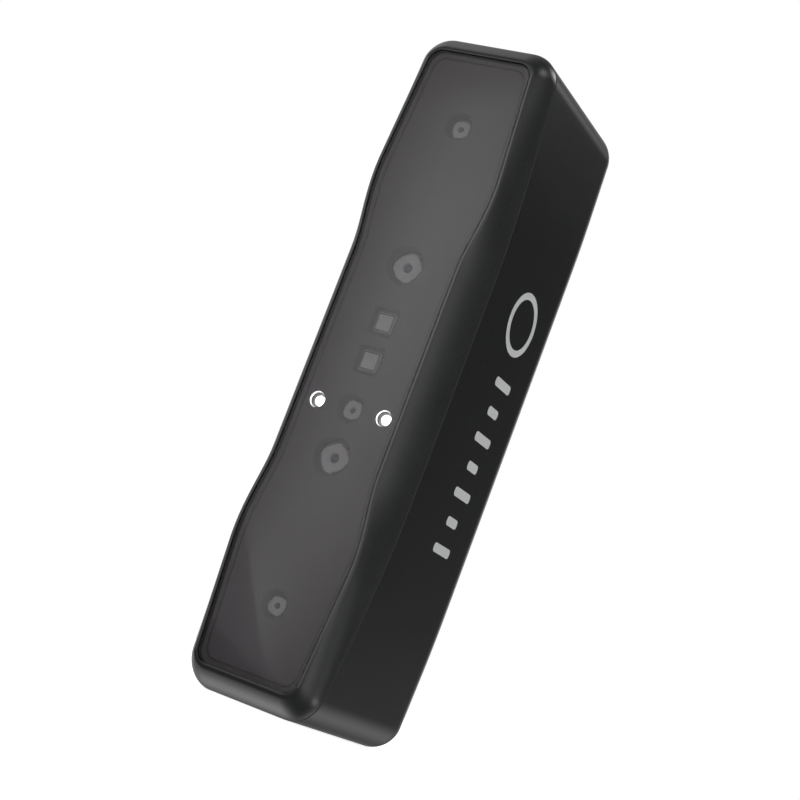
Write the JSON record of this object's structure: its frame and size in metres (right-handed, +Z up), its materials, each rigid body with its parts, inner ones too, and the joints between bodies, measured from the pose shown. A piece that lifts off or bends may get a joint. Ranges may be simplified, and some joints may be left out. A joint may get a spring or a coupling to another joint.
{
  "type": "handheld 3-D scanner",
  "caption": "Handheld 3-D scanner: upright black box with a waisted tinted front window over its lenses and lights, press buttons on the rear, and a tripod socket and USB-C port underneath.",
  "frame": {"origin": "centre of the bounding box's underside, on the surface the scanner stands on", "axes": "+Z up along the body's length, -Y out of the front window, +Y out of the rear buttons, +X to the right seen from the front"},
  "size_m": [0.038, 0.0612, 0.172],
  "materials": {
    "tinted_glass": "gloss",
    "gloss_black": "gloss",
    "satin_black": "satin",
    "mask_black": "matte",
    "foam_black": "matte",
    "lens_grey": "satin",
    "holder_black": "matte",
    "window_clear": "gloss",
    "light_white": "gloss",
    "board_green": "satin",
    "cast_aluminium": "satin",
    "steel": "satin",
    "brass": "satin",
    "pad_blue": "matte",
    "flex_amber": "gloss",
    "button_grey": "satin"
  },
  "bodies": {
    "root": {"bench_screw_lower_left": "steel", "bench_screw_lower_right": "steel", "bench_screw_upper_left": "steel", "bench_screw_upper_right": "steel", "board_screw_lower_left": "steel", "board_screw_lower_right": "steel", "board_screw_upper_left": "steel", "board_screw_upper_right": "steel", "button_board": "board_green", "button_flex": "flex_amber", "cover_screw_lower": "steel", "cover_screw_upper": "steel", "fill_led_left": "light_white", "fill_led_right": "light_white", "front_bezel": "gloss_black", "front_window": "tinted_glass", "heat_sink": "cast_aluminium", "holder_colour": "holder_black", "holder_far_lower": "holder_black", "holder_far_upper": "holder_black", "holder_near_lower": "holder_black", "holder_near_upper": "holder_black", "indicator_guide": "light_white", "led_board": "board_green", "lens_colour": "lens_grey", "lens_far_lower": "lens_grey", "lens_far_upper": "lens_grey", "lens_near_lower": "lens_grey", "lens_near_upper": "lens_grey", "light_pipe_left": "light_white", "light_pipe_right": "light_white", "light_sleeve_left": "holder_black", "light_sleeve_right": "holder_black", "main_board": "board_green", "main_housing": "satin_black", "minus_switch": "steel", "optical_bench": "cast_aluminium", "optics_mask": "mask_black", "plus_switch": "steel", "processor_shield": "steel", "projector_board": "board_green", "projector_lower": "holder_black", "projector_upper": "holder_black", "projector_window_lower": "window_clear", "projector_window_upper": "window_clear", "rear_cover": "satin_black", "scan_switch": "steel", "sensor_board_colour": "board_green", "sensor_board_far_lower": "board_green", "sensor_board_far_upper": "board_green", "sensor_board_near_lower": "board_green", "sensor_board_near_upper": "board_green", "thermal_pad": "pad_blue", "tripod_insert": "brass", "usb_board": "board_green", "usb_c_receptacle": "steel", "window_gasket": "foam_black"},
    "scan_key": {"scan_button": "button_grey"},
    "plus_key": {"plus_button": "button_grey"},
    "minus_key": {"minus_button": "button_grey"}
  },
  "joints": [
    {"name": "scan_press", "type": "slide", "parent": "root", "child": "scan_key", "axis": [0, -1, 0], "range_m": [0, 0.0005], "stiffness_N_per_m": 600, "springref_m": -0.0005},
    {"name": "plus_press", "type": "slide", "parent": "root", "child": "plus_key", "axis": [0, -1, 0], "range_m": [0, 0.0005], "stiffness_N_per_m": 600, "springref_m": -0.0005},
    {"name": "minus_press", "type": "slide", "parent": "root", "child": "minus_key", "axis": [0, -1, 0], "range_m": [0, 0.0005], "stiffness_N_per_m": 600, "springref_m": -0.0005}
  ]
}
